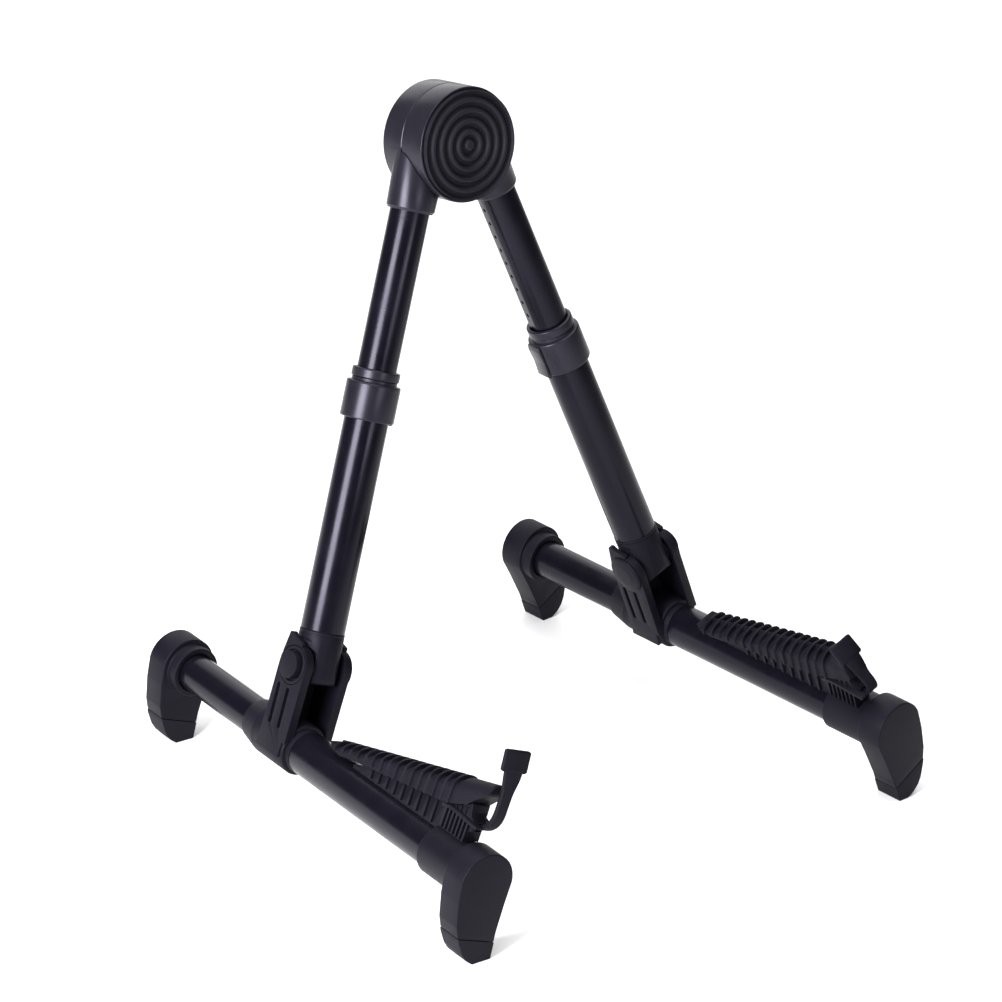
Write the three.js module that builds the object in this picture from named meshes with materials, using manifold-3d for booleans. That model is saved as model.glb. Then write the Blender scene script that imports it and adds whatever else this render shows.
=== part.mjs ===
import * as THREE from 'three';
import { mergeVertices } from 'three/addons/utils/BufferGeometryUtils.js';
import Module from 'manifold-3d';

// Folding, height-adjustable stand for a string instrument.
// Two telescopic legs hang from a turning hub. Each leg ends in a yoke that
// carries a foot bar with a cradle arm in front. Millimetres, +Z up, front = -Y.

const wasm = await Module();
wasm.setup();

// ---- stance ----------------------------------------------------------------
const HUB_HEIGHT = 371.2; // hub centre above the floor
const HUB_BACK = 83.46; // hub centre behind the middle of the footprint
const HUB_SIDE = -1.98; // hub centre beside the middle of the footprint
const SPREAD = THREE.MathUtils.degToRad(20.7); // each leg from the centre plane
const BAR_TILT = THREE.MathUtils.degToRad(10.55); // leg from square to its foot bar
const LEG_LENGTH = 310.4; // hub centre to knuckle pin, along the leg
const AXIS_OFFSET = 16.73; // leg axis beside the hub centre
const BAR_DROP = 46.25; // foot-bar axis below the knuckle pin
const GAP = 0.3; // clearance between touching pieces

// ---- hub -------------------------------------------------------------------
const HUB_R = 33.4;
const HUB_HALF = 17.9; // half the thickness of the two discs together
const HUB_PARTING = 0.4;
const NECK_R_TOP = 15.4;
const NECK_R_END = 14.1;
const NECK_END = 43.5;
const PAD_R = 31.5;
const PAD_SEAT = 2.2; // depth of the pad's seat in the front half
const PAD_PROUD = 3.4;
const PAD_GROOVES = 5;
const PAD_GROOVE_FIRST = 4.8;
const PAD_GROOVE_PITCH = 6.1;
const PAD_GROOVE_DEEP = 1.2;
const BOLT_R = 4.2;
const BOLT_HEAD_R = 9;
const NUT_R = 7.6;
const REAR_CAP_R = 11.7;

// ---- telescopic leg ----------------------------------------------------------
const UPPER_R = 11.5;
const UPPER_WALL = 1.3;
const UPPER_TOP = 34.6;
const UPPER_END = 200;
const UPPER_FLAT = 11.0; // distance of the detent flat from the tube axis
const HOLE_R = 1.2;
const HOLE_FIRST = 52;
const HOLE_PITCH = 9.2;
const HOLE_COUNT = 14;
const ROW_TURN = THREE.MathUtils.degToRad(8); // holes sit a little behind the inner side
const RING_R = 14;
const RING_TOP = 136;
const RING_END = 141.3;
const COLLAR_R = 15.8;
const COLLAR_NECK_R = 13.3;
const COLLAR_TOP = 141.6;
const COLLAR_BODY = 143.6;
const COLLAR_END = 165;
const ROCKER_HALF = 6;
const ROCKER_TOP = 144.6;
const ROCKER_PIVOT = 156.5;
const ROCKER_END = 166.5;
const ROCKER_IN = 14.3;
const ROCKER_OUT = 16.4;
const LOWER_R = 13;
const LOWER_BORE = 11.8;
const LOWER_TOP = 151;
const LOWER_END = 288.7;

// ---- knuckle and yoke ----------------------------------------------------------
const PLUG_TOP = 270;
const SHOULDER_R = 13.2;
const BARREL_R = 9;
const BARREL_LEFT = -8.7; // drawn for the left leg, whose outer side is -x
const BARREL_RIGHT = 11.7;
const PIN_R = 3.9;
const YOKE_LEFT = -16.5; // outer face of the ear with the button
const YOKE_RIGHT = 17;
const EAR_LEFT_INNER = -11;
const EAR_RIGHT_INNER = 12;
const EAR_TOP_R = 12.5;
const SLEEVE_R = 15.5;
const SLEEVE_FRONT = -14;
const SLEEVE_REAR = 18;
const RAMP_END = 32;
const RAMP_R = 12.6;
const BUTTON_R = 10.8;
const CAP_R = 12;

// ---- foot bar ------------------------------------------------------------------
const FRONT_R = 13;
const FRONT_BORE = 11.6;
const FRONT_START = -18.3;
const FRONT_END = -176;
const REAR_R = 11.3;
const REAR_BORE = 10;
const REAR_START = 15;
const REAR_END = 121;
const SPIGOT_R = 11.3;
const SOCKET_R = 15.2;
const FRONT_SOCKET = -149.5;
const FRONT_PLATE = -179.5;
const FRONT_FACE = -197;
const REAR_SOCKET = 101;
const REAR_PLATE = 108.4;
const REAR_FACE = 125;
const PLATE_R = 17.7; // rounded top of a foot, near the bar axis
const FOOT_TURN = THREE.MathUtils.degToRad(10.7); // right feet sit turned about the bar
const SOLE_TOP = -33.5;
const FOOT_LOW = -47.6;

// ---- cradle --------------------------------------------------------------------
const ARM_HALF = 9.5;
const ARM_TIP = -42;
const ARM_RIBS = 16;
const ARM_RIB_FIRST = -50;
const ARM_RIB_PITCH = 6.9;
const ARM_RIB_THICK = 2.2;
const ARM_RIB_HIGH = 1.8;
const BASE_HALF = 6;
const BLOCK_HALF = 6.5;
const RAIL_HALF = 9.2;
const RAIL_RIBS = 4;
const TAB_THICK = 2.6;
const TAB_STEM_HALF = 3.7;
const TAB_FLARE_HALF = 4.9;
const TAB_HEAD_HALF = 8.2;
const TAB_ROOT_Y = -173; // bead that holds the tab in the bracket
const TAB_ROOT_Z = 24.6;
const TAB_BEAD_R = 2;

// ---- solid helpers ---------------------------------------------------------------
function toSolid(geometry) {
  const bare = geometry.clone();
  bare.deleteAttribute('normal');
  bare.deleteAttribute('uv');
  const merged = mergeVertices(bare, 1e-4);
  const source = merged.index.array;
  const kept = [];
  for (let i = 0; i < source.length; i += 3) {
    const a = source[i];
    const b = source[i + 1];
    const c = source[i + 2];
    if (a !== b && b !== c && c !== a) {
      kept.push(a, b, c);
    }
  }
  const mesh = new wasm.Mesh({
    numProp: 3,
    vertProperties: new Float32Array(merged.attributes.position.array),
    triVerts: new Uint32Array(kept),
  });
  return new wasm.Manifold(mesh);
}

function toGeometry(solid) {
  const mesh = solid.getMesh();
  const geometry = new THREE.BufferGeometry();
  geometry.setAttribute('position', new THREE.BufferAttribute(mesh.vertProperties, 3));
  geometry.setIndex(new THREE.BufferAttribute(mesh.triVerts, 1));
  return geometry;
}

function join(first, ...rest) {
  let solid = toSolid(first);
  for (const piece of rest) {
    solid = solid.add(toSolid(piece));
  }
  return toGeometry(solid);
}

function cut(first, ...rest) {
  let solid = toSolid(first);
  for (const piece of rest) {
    solid = solid.subtract(toSolid(piece));
  }
  return toGeometry(solid);
}

function common(first, second) {
  return toGeometry(toSolid(first).intersect(toSolid(second)));
}

function alignY(geometry, axis) {
  if (axis === 'x') {
    geometry.rotateZ(-Math.PI / 2);
  }
  if (axis === 'z') {
    geometry.rotateX(Math.PI / 2);
  }
  return geometry;
}

// Round bar along an axis, from one station to another, with an end radius at each.
function rod(axis, from, to, rFrom, rTo = rFrom, sides = 28) {
  const geometry = new THREE.CylinderGeometry(rTo, rFrom, to - from, sides);
  geometry.translate(0, (from + to) / 2, 0);
  return alignY(geometry, axis);
}

// Turned piece: [radius, station] points from the low end to the high end.
function turned(axis, points, sides = 28) {
  const profile = points.map(([r, h]) => new THREE.Vector2(r, h));
  return alignY(new THREE.LatheGeometry(profile, sides), axis);
}

function block(x0, x1, y0, y1, z0, z1) {
  const geometry = new THREE.BoxGeometry(x1 - x0, y1 - y0, z1 - z0);
  geometry.translate((x0 + x1) / 2, (y0 + y1) / 2, (z0 + z1) / 2);
  return geometry;
}

// Flat outline pushed along an axis. Outlines are (y, z) along x and (x, z) along y.
function slab(axis, outline, from, to) {
  const shape = new THREE.Shape(outline.map(([u, v]) => new THREE.Vector2(u, v)));
  const geometry = new THREE.ExtrudeGeometry(shape, { depth: to - from, bevelEnabled: false });
  const basis = new THREE.Matrix4();
  if (axis === 'x') {
    basis.makeBasis(new THREE.Vector3(0, 1, 0), new THREE.Vector3(0, 0, 1), new THREE.Vector3(1, 0, 0));
    basis.setPosition(from, 0, 0);
  } else {
    basis.makeBasis(new THREE.Vector3(1, 0, 0), new THREE.Vector3(0, 0, 1), new THREE.Vector3(0, -1, 0));
    basis.setPosition(0, to, 0);
  }
  return geometry.applyMatrix4(basis);
}

function arc(cu, cv, radius, fromDeg, toDeg, steps) {
  const points = [];
  for (let i = 0; i <= steps; i += 1) {
    const angle = THREE.MathUtils.degToRad(fromDeg + ((toDeg - fromDeg) * i) / steps);
    points.push([cu + radius * Math.cos(angle), cv + radius * Math.sin(angle)]);
  }
  return points;
}

// ---- frames ------------------------------------------------------------------------
const LEAN = Math.atan(Math.cos(SPREAD) * Math.tan(BAR_TILT));

function hubFrame() {
  const frame = new THREE.Matrix4().makeRotationX(-LEAN);
  frame.setPosition(HUB_SIDE, HUB_BACK, HUB_HEIGHT);
  return frame;
}

function legFrame(side) {
  return hubFrame().multiply(new THREE.Matrix4().makeRotationY(-side * SPREAD));
}

function barFrame(side) {
  const frame = legFrame(side);
  frame.multiply(new THREE.Matrix4().makeTranslation(side * AXIS_OFFSET, 0, -LEG_LENGTH));
  frame.multiply(new THREE.Matrix4().makeRotationX(BAR_TILT));
  frame.multiply(new THREE.Matrix4().makeTranslation(0, 0, -BAR_DROP));
  return frame;
}

// ---- hub pieces (hub frame, turning axis along y) -------------------------------------
function hubShell(side) {
  const face = HUB_PARTING / 2;
  const behind = side < 0;
  const near = behind ? face : -HUB_HALF;
  const disc = rod('y', near, near + HUB_HALF - face, HUB_R, HUB_R, 48);
  const neck = rod('z', -NECK_END, 0, NECK_R_END, NECK_R_TOP);
  neck.translate(side * AXIS_OFFSET, 0, 0);
  neck.rotateY(-side * SPREAD);
  const roomStart = behind ? -40 : -face;
  const room = rod('y', roomStart, roomStart + 40 + face, HUB_R + 0.5, HUB_R + 0.5, 48);
  const socket = rod('z', -NECK_END - 1, -UPPER_TOP + GAP, UPPER_R + GAP);
  socket.translate(side * AXIS_OFFSET, 0, 0);
  socket.rotateY(-side * SPREAD);
  const body = cut(join(disc, cut(neck, room)), socket, rod('y', -40, 40, BOLT_R + GAP));
  if (behind) {
    const washerSeat = rod('y', -1, 1.7, 9.6);
    const nutSeat = rod('y', 9.2, 20, NUT_R + 1.1);
    const capSeat = rod('y', HUB_HALF - 2.1, 20, REAR_CAP_R + GAP);
    return cut(body, washerSeat, nutSeat, capSeat);
  }
  const padSeat = rod('y', -20, -HUB_HALF + PAD_SEAT + GAP, PAD_R + GAP, PAD_R + GAP, 48);
  const headSeat = rod('y', -20, -9.7, BOLT_HEAD_R + GAP);
  return cut(body, padSeat, headSeat);
}

function hubPad() {
  const front = -HUB_HALF - PAD_PROUD;
  const back = -HUB_HALF + PAD_SEAT;
  const points = [[0, front]];
  for (let i = 0; i < PAD_GROOVES; i += 1) {
    const r = PAD_GROOVE_FIRST + i * PAD_GROOVE_PITCH;
    points.push([r - 1.5, front]);
    points.push([r - 0.7, front + PAD_GROOVE_DEEP]);
    points.push([r + 0.7, front + PAD_GROOVE_DEEP]);
    points.push([r + 1.5, front]);
  }
  points.push([PAD_R - 0.6, front]);
  points.push([PAD_R, front + 0.6]);
  points.push([PAD_R, back]);
  points.push([0, back]);
  return turned('y', points, 36);
}

function hubBolt() {
  return join(
    rod('y', -HUB_HALF + PAD_SEAT + GAP, -10, BOLT_HEAD_R, BOLT_HEAD_R, 20),
    rod('y', -11, 15, BOLT_R, BOLT_R, 20),
  );
}

function hubNut() {
  return cut(rod('y', 9.5, 14.8, NUT_R, NUT_R, 6), rod('y', 8, 17, BOLT_R + GAP, BOLT_R + GAP, 32));
}

function waveWasher() {
  return cut(rod('y', 0.25, 1.35, 9.2, 9.2, 20), rod('y', -1, 3, BOLT_R + 0.6, BOLT_R + 0.6, 32));
}

function rearCap() {
  return turned('y', [
    [0, HUB_HALF - 1.8],
    [REAR_CAP_R, HUB_HALF - 1.8],
    [REAR_CAP_R, HUB_HALF - 0.3],
    [11, HUB_HALF],
    [0, HUB_HALF],
  ]);
}

// ---- leg pieces (leg frame, leg runs down along -z) -------------------------------------
function onLeg(side, geometry) {
  return geometry.translate(side * AXIS_OFFSET, 0, 0);
}

// Turns a piece that is drawn facing +x so that it faces the other leg.
function faceInward(side, geometry) {
  return geometry.rotateZ(side > 0 ? Math.PI - ROW_TURN : ROW_TURN);
}

function upperTube(side) {
  const tube = cut(
    rod('z', -UPPER_END, -UPPER_TOP, UPPER_R),
    rod('z', -UPPER_END - 1, -UPPER_TOP + 1, UPPER_R - UPPER_WALL),
  );
  const flat = block(UPPER_FLAT, 20, -12, 12, -UPPER_END - 1, -NECK_END - GAP);
  const holes = [];
  for (let i = 0; i < HOLE_COUNT; i += 1) {
    const hole = rod('x', 4, 20, HOLE_R, HOLE_R, 10);
    hole.translate(0, 0, -HOLE_FIRST - i * HOLE_PITCH);
    holes.push(hole);
  }
  return onLeg(side, faceInward(side, cut(tube, flat, ...holes)));
}

function heightRing(side) {
  const ring = turned('z', [
    [LOWER_BORE, -RING_END],
    [RING_R - 0.5, -RING_END],
    [RING_R, -RING_END + 0.7],
    [RING_R, -RING_TOP - 0.9],
    [RING_R - 0.7, -RING_TOP],
    [LOWER_BORE, -RING_TOP],
    [LOWER_BORE, -RING_END],
  ]);
  return onLeg(side, ring);
}

function heightCollar(side) {
  const outer = turned('z', [
    [0, -COLLAR_END],
    [COLLAR_R - 1.2, -COLLAR_END],
    [COLLAR_R, -COLLAR_END + 1.4],
    [COLLAR_R, -COLLAR_BODY - 1],
    [COLLAR_R - 1, -COLLAR_BODY],
    [COLLAR_NECK_R, -COLLAR_BODY],
    [COLLAR_NECK_R, -COLLAR_TOP],
    [0, -COLLAR_TOP],
  ]);
  const bore = rod('z', -COLLAR_END - 1, -COLLAR_TOP + 1, LOWER_BORE);
  const seat = rod('z', -COLLAR_END - 1, -LOWER_TOP + GAP, LOWER_R + GAP);
  const half = ROCKER_HALF + GAP;
  const pocket = block(14, 20, -half, half, -COLLAR_END - 1, -ROCKER_TOP + 0.4);
  const drop = block(6, 20, -half, half, -COLLAR_END - 1, -ROCKER_PIVOT);
  const toothWay = block(6, 20, -2.2, 2.2, -149.4, -ROCKER_TOP - 0.2);
  return onLeg(side, faceInward(side, cut(outer, bore, seat, pocket, drop, toothWay)));
}

function lockRocker(side) {
  const outline = [
    [ROCKER_IN, -ROCKER_END],
    [ROCKER_OUT - 1.2, -ROCKER_END],
    [ROCKER_OUT, -ROCKER_END + 2],
    [ROCKER_OUT - 0.7, -ROCKER_PIVOT],
    [ROCKER_OUT, -ROCKER_TOP - 3],
    [ROCKER_OUT - 1, -ROCKER_TOP],
    [ROCKER_IN, -ROCKER_TOP],
    [ROCKER_IN, -ROCKER_TOP - 0.9],
    [11.9, -ROCKER_TOP - 1.9],
    [11.9, -ROCKER_TOP - 3.1],
    [ROCKER_IN, -ROCKER_TOP - 4.1],
  ];
  const wide = slab('y', outline, -ROCKER_HALF, ROCKER_HALF);
  const cheek = block(10, ROCKER_IN, -8, 8, -172, -140);
  const tooth = common(slab('y', outline, -0.9, 0.9), block(10, ROCKER_IN + 1, -3, 3, -150, -142));
  return onLeg(side, faceInward(side, join(cut(wide, cheek), tooth)));
}

function lowerTube(side) {
  return onLeg(side, cut(
    rod('z', -LOWER_END, -LOWER_TOP, LOWER_R),
    rod('z', -LOWER_END - 1, -LOWER_TOP + 1, LOWER_BORE),
  ));
}

// Pieces at the knuckle are drawn for the left leg. The right leg has their mirror images.
function mirrored(side, geometry) {
  if (side > 0) {
    geometry.scale(-1, 1, 1);
    const index = geometry.index.array;
    for (let i = 0; i < index.length; i += 3) {
      [index[i], index[i + 1]] = [index[i + 1], index[i]];
    }
  }
  return geometry;
}

function knuckle(side) {
  const plug = rod('z', -LOWER_END - 1, -PLUG_TOP, LOWER_BORE - GAP);
  const round = rod('z', -LEG_LENGTH - 20, -LOWER_END - GAP, SHOULDER_R);
  const profile = [
    [-SHOULDER_R - 1, -PLUG_TOP],
    ...arc(-6.5, -LEG_LENGTH - 2.5, 6.5, 180, 270, 6),
    ...arc(0, -LEG_LENGTH, BARREL_R, 270, 388, 8),
    [8, -LEG_LENGTH + 9],
    [SHOULDER_R + 1, -LEG_LENGTH + 9],
    [SHOULDER_R + 1, -PLUG_TOP],
  ];
  const body = common(round, slab('x', profile, -20, 20));
  const tools = [rod('x', -30, 30, PIN_R + GAP, PIN_R + GAP, 20)];
  for (const [from, to] of [[-20, BARREL_LEFT], [BARREL_RIGHT, 20]]) {
    tools.push(rod('x', from, to, EAR_TOP_R + 0.4, EAR_TOP_R + 0.4, 40));
    tools.push(block(from, to, -20, 20, -20, 0));
  }
  for (const tool of tools) {
    tool.translate(0, 0, -LEG_LENGTH);
  }
  return onLeg(side, mirrored(side, cut(join(plug, body), ...tools)));
}

// ---- foot pieces (bar frame, bar axis along y, pin above it) -------------------------------
function yoke(side) {
  const earOutline = [
    [-15.2, 3],
    ...arc(0, BAR_DROP, EAR_TOP_R, 190, 6, 14),
    [12.4, 44],
    [9.6, 12],
    [9.6, 3],
  ];
  const leftEar = slab('x', earOutline, YOKE_LEFT, EAR_LEFT_INNER);
  const rightEar = slab('x', earOutline, EAR_RIGHT_INNER, YOKE_RIGHT);
  const hornOutline = [[6.5, 54], [8.4, 63.6], [11.2, 63.2], [12.2, 50]];
  const leftHorn = slab('x', hornOutline, YOKE_LEFT, -13.7);
  const rightHorn = slab('x', hornOutline, 14.2, YOKE_RIGHT);
  const wallOutline = [[9.8, 52], [9.8, 36], [6.2, 10], [9.4, 10], [12.3, 44], [12.3, 52]];
  const rearWall = slab('x', wallOutline, YOKE_LEFT + 1, YOKE_RIGHT - 1);
  const boss = rod('x', EAR_LEFT_INNER - 1, BARREL_LEFT - GAP, 9, 9, 20);
  boss.translate(0, 0, BAR_DROP);
  const sleeve = turned('y', [
    [0, -34],
    [SPIGOT_R - 0.8, -34],
    [SPIGOT_R, -33],
    [SPIGOT_R, FRONT_START + GAP],
    [FRONT_R + 0.1, FRONT_START + GAP],
    [FRONT_R + 0.1, SLEEVE_FRONT - 0.4],
    [SLEEVE_R - 0.6, SLEEVE_FRONT],
    [SLEEVE_R, SLEEVE_FRONT + 0.8],
    [SLEEVE_R, SLEEVE_REAR],
    [RAMP_R, RAMP_END],
    [0, RAMP_END],
  ]);
  const cheeks = block(YOKE_LEFT, YOKE_RIGHT, -12.5, 9.6, -6, 4);
  const body = join(sleeve, cheeks, leftEar, rightEar, leftHorn, rightHorn, rearWall, boss);
  const pinWay = rod('x', -30, 30, PIN_R + GAP, PIN_R + GAP, 20);
  const buttonSeat = rod('x', YOKE_LEFT - 1, -12.6, BUTTON_R + GAP);
  const springSeat = rod('x', YOKE_LEFT - 1, -10.8, 8, 8, 20);
  for (const tool of [pinWay, buttonSeat, springSeat]) {
    tool.translate(0, 0, BAR_DROP);
  }
  const tubeSeat = rod('y', REAR_START - GAP, 40, REAR_R + GAP);
  const slots = [];
  for (const y of [5.6, -3.0]) {
    const outline = [[y - 0.9, 33], [y + 1.7, 33], [y - 0.7, 9], [y - 3.3, 9]];
    slots.push(slab('x', outline, -20, YOKE_LEFT + 2.5));
    slots.push(slab('x', outline, YOKE_RIGHT - 2.5, 20));
  }
  return mirrored(side, cut(body, pinWay, buttonSeat, springSeat, tubeSeat, ...slots));
}

function knucklePin(side) {
  const pin = rod('x', -11.4, 16.6, PIN_R, PIN_R, 20);
  return mirrored(side, pin.translate(0, 0, BAR_DROP));
}

function pinCap(side) {
  const cap = turned('x', [
    [0, YOKE_RIGHT + GAP],
    [CAP_R, YOKE_RIGHT + GAP],
    [CAP_R, YOKE_RIGHT + 0.8],
    [CAP_R - 1.4, YOKE_RIGHT + 1.7],
    [CAP_R - 5, YOKE_RIGHT + 2.5],
    [0, YOKE_RIGHT + 2.8],
  ], 28);
  return mirrored(side, cap.translate(0, 0, BAR_DROP));
}

function releaseButton(side) {
  const button = turned('x', [
    [0, -15.3],
    [8.4, -15.3],
    [8.7, -15.8],
    [BUTTON_R - 0.3, -15.8],
    [BUTTON_R, -15.5],
    [BUTTON_R, -13.9],
    [0, -13.9],
  ], 28);
  return mirrored(side, button.translate(0, 0, BAR_DROP));
}

function releaseSpring(side) {
  const ring = cut(rod('x', -12.6, -11.2, 7.5, 7.5, 20), rod('x', -14, -9, 4.8, 4.8, 32));
  return mirrored(side, ring.translate(0, 0, BAR_DROP));
}

function frontTube() {
  const outer = rod('y', FRONT_END, FRONT_START, FRONT_R);
  return cut(outer, rod('y', FRONT_END - 1, FRONT_START + 1, FRONT_BORE));
}

function rearTube() {
  return cut(rod('y', REAR_START, REAR_END, REAR_R), rod('y', REAR_START - 1, REAR_END + 1, REAR_BORE));
}

// Foot plate seen from the front. It is drawn for the left foot, where inward is +x.
function footBlank(side, from, to) {
  const outline = [
    ...arc(-0.9, 0.4, PLATE_R, 8, 184, 16),
    [-15.9, -13],
    [-11.4, -27],
    [-6.4, -36],
    [-1.2, -42.6],
    [3, -46],
    [8, FOOT_LOW],
    [17.6, FOOT_LOW],
    [19.6, -43.5],
    [17.4, -28],
    [16.6, -10],
  ];
  return slab('y', outline.map(([x, z]) => [-side * x, z]), from, to);
}

function turnFoot(side, geometry) {
  if (side > 0) {
    geometry.rotateY(-FOOT_TURN);
  }
  return geometry;
}

function frontFoot(side) {
  const socket = turned('y', [
    [0, FRONT_PLATE - 1],
    [SOCKET_R, FRONT_PLATE - 1],
    [SOCKET_R, FRONT_SOCKET - 0.8],
    [SOCKET_R - 0.7, FRONT_SOCKET],
    [0, FRONT_SOCKET],
  ]);
  const blank = footBlank(side, FRONT_FACE, FRONT_PLATE);
  const upper = cut(blank, block(-40, 40, -210, -150, -60, SOLE_TOP));
  const bore = rod('y', FRONT_END - GAP, FRONT_SOCKET + 1, FRONT_R + GAP);
  return cut(join(turnFoot(side, upper), socket), bore);
}

function rearFoot(side) {
  const ring = turned('y', [
    [0, REAR_SOCKET],
    [SOCKET_R - 0.9, REAR_SOCKET],
    [SOCKET_R, REAR_SOCKET + 0.8],
    [SOCKET_R, REAR_PLATE + 1],
    [0, REAR_PLATE + 1],
  ]);
  const blank = footBlank(side, REAR_PLATE, REAR_FACE);
  const upper = cut(blank, block(-40, 40, 90, 150, -60, SOLE_TOP));
  const bore = rod('y', REAR_SOCKET - 1, REAR_END + GAP, REAR_R + GAP);
  return cut(join(turnFoot(side, upper), ring), bore);
}

// Rubber sole, trimmed flat by the floor.
function footSole(side, from, to) {
  const blank = footBlank(side, from, to);
  const sole = cut(blank, block(-40, 40, -250, 200, SOLE_TOP - GAP, 40));
  const floor = block(-400, 400, -400, 400, -60, 0);
  floor.applyMatrix4(barFrame(side).invert());
  return cut(turnFoot(side, sole), floor);
}

// ---- cradle (bar frame) ------------------------------------------------------------------
function armTop(y) {
  return 17.8 + 0.2435 * (-y - 41.7);
}

function armEdge(y) {
  return 19.4 + 0.2 * (-y - 58);
}

function armUnder(y) {
  return 14.6 + 0.145 * (-y - 54.8);
}

// End of the arm by the tab, (y, z) points from the underside to the top. The right
// tab is folded back over its arm, so that arm is shorter.
function armNose(side, grow) {
  if (side < 0) {
    return [
      [-162, 32.2], [-168, 34.6], [-173, 39.3], [-181, 45.2], [-182, 47],
      [-181.6, 50], [-179.5, armTop(-179.5) + grow],
    ];
  }
  return [
    [-162, 32.2], [-170, 33.2], [-173.3, 36.5], [-171.8, 40.5],
    [-168.5, 44.4], [-165, 46.4], [-160, armTop(-160) + grow],
  ];
}

// Crowned wedge. The crown is a cone whose axis climbs with the arm.
function armBody(side, grow) {
  const near = -30;
  const far = -190;
  const half = ARM_HALF + grow;
  const crown = (y) => {
    const rise = armTop(y) - armEdge(y);
    return (ARM_HALF * ARM_HALF + rise * rise) / (2 * rise);
  };
  const start = new THREE.Vector3(0, near, armTop(near) - crown(-58));
  const end = new THREE.Vector3(0, far, armTop(far) - crown(-153));
  const axis = end.clone().sub(start);
  const cone = new THREE.CylinderGeometry(crown(-153) + grow, crown(-58) + grow, axis.length(), 24);
  const turn = new THREE.Quaternion();
  turn.setFromUnitVectors(new THREE.Vector3(0, 1, 0), axis.normalize());
  cone.applyQuaternion(turn);
  cone.translate(0, (near + far) / 2, (start.z + end.z) / 2);
  const outline = [
    [ARM_TIP, 16.2],
    [ARM_TIP - 2.5, 14.9],
    [-55, armUnder(-55)],
    [-153, armUnder(-153)],
    ...armNose(side, grow),
    [ARM_TIP, armTop(ARM_TIP) + grow],
  ];
  return common(slab('x', outline, -half, half), cone);
}

function cradleArm(side) {
  const combs = [];
  for (let i = 0; i < ARM_RIBS; i += 1) {
    const y = ARM_RIB_FIRST - i * ARM_RIB_PITCH;
    combs.push(block(-12, 12, y - ARM_RIB_THICK / 2, y + ARM_RIB_THICK / 2, 0, 70));
  }
  const spine = block(-1.2, 1.2, -158, ARM_TIP - 2, 0, 70);
  const skin = armBody(side, ARM_RIB_HIGH);
  return join(armBody(side, 0), common(skin, join(spine, ...combs)));
}

function cradleBracket(tabWay) {
  const wedge = [
    [-66, 6],
    [-66, 14],
    [-76, armUnder(-76) - GAP],
    [-153, armUnder(-153) - GAP],
    [-153, 6],
  ];
  const lump = [
    [-150, 6],
    [-150, 26],
    [-154, 28.5],
    [-160, 30.9],
    [-168, 30.9],
    [-174, 29.5],
    [-177, 27.6],
    [-177, 14],
    [-170, 6],
  ];
  const rail = [
    [-150, 26.2],
    [-150, 28],
    [-157, 29.2],
    [-176.5, 29.4],
    [-177, 27.8],
    [-158, 27.4],
  ];
  const ribs = [];
  for (let i = 0; i < RAIL_RIBS; i += 1) {
    const y = -155 - 6 * i;
    ribs.push(block(-RAIL_HALF + 1, RAIL_HALF - 1, y - 0.8, y + 0.8, 17, 28));
  }
  const body = join(
    slab('x', wedge, -BASE_HALF, BASE_HALF),
    slab('x', lump, -BLOCK_HALF, BLOCK_HALF),
    slab('x', rail, -RAIL_HALF, RAIL_HALF),
    ...ribs,
  );
  const tube = rod('y', -220, -40, FRONT_R + GAP, FRONT_R + GAP, 40);
  const socket = rod('y', -220, FRONT_SOCKET + GAP, SOCKET_R + GAP, SOCKET_R + GAP, 40);
  return cut(body, tube, socket, tabWay);
}

// Strip of even thickness along a bent centre line of (y, z) points.
function stripOutline(line, thick) {
  const sideA = [];
  const sideB = [];
  for (let i = 0; i < line.length; i += 1) {
    const before = line[Math.max(i - 1, 0)];
    const after = line[Math.min(i + 1, line.length - 1)];
    const along = new THREE.Vector2(after[0] - before[0], after[1] - before[1]).normalize();
    sideA.push([line[i][0] - (along.y * thick) / 2, line[i][1] + (along.x * thick) / 2]);
    sideB.unshift([line[i][0] + (along.y * thick) / 2, line[i][1] - (along.x * thick) / 2]);
  }
  return [...sideA, ...sideB];
}

function tabLine(side) {
  const root = [TAB_ROOT_Y, TAB_ROOT_Z];
  if (side < 0) {
    return [
      root, [-177.5, 25.2], [-181.5, 27.2], [-185, 30.8], [-186.9, 36],
      [-187.1, 45], [-186.9, 55], [-186.4, 62], [-184.5, 75],
    ];
  }
  return [
    root, [-177.5, 24.8], [-181, 26.4], [-182.6, 29.5], [-181.3, 33],
    [-177, 37.8], [-174, 42.2], [-170, 46.8], [-162, 55],
  ];
}

function retainingTab(side) {
  const line = tabLine(side);
  const stem = slab('x', stripOutline(line, TAB_THICK), -TAB_STEM_HALF, TAB_STEM_HALF);
  const flare = slab('x', stripOutline(line.slice(-3), TAB_THICK), -TAB_FLARE_HALF, TAB_FLARE_HALF);
  const head = slab('x', stripOutline(line.slice(-2), TAB_THICK), -TAB_HEAD_HALF, TAB_HEAD_HALF);
  const bead = rod('x', -TAB_STEM_HALF, TAB_STEM_HALF, TAB_BEAD_R, TAB_BEAD_R, 20);
  bead.translate(0, TAB_ROOT_Y, TAB_ROOT_Z);
  return join(stem, flare, bead, head);
}

// Socket in the bracket for the bead, with a mouth that lets the tab bend forward.
function tabSeat() {
  const half = TAB_STEM_HALF + GAP;
  const socket = rod('x', -half, half, TAB_BEAD_R + GAP, TAB_BEAD_R + GAP, 20);
  socket.translate(0, TAB_ROOT_Y, TAB_ROOT_Z);
  const mouth = [
    [TAB_ROOT_Y, TAB_ROOT_Z + 2.2],
    [-196, TAB_ROOT_Z + 2.2],
    [-196, TAB_ROOT_Z - 13.2],
    [TAB_ROOT_Y, TAB_ROOT_Z - 2.1],
  ];
  return join(socket, slab('x', mouth, -half, half));
}

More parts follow.
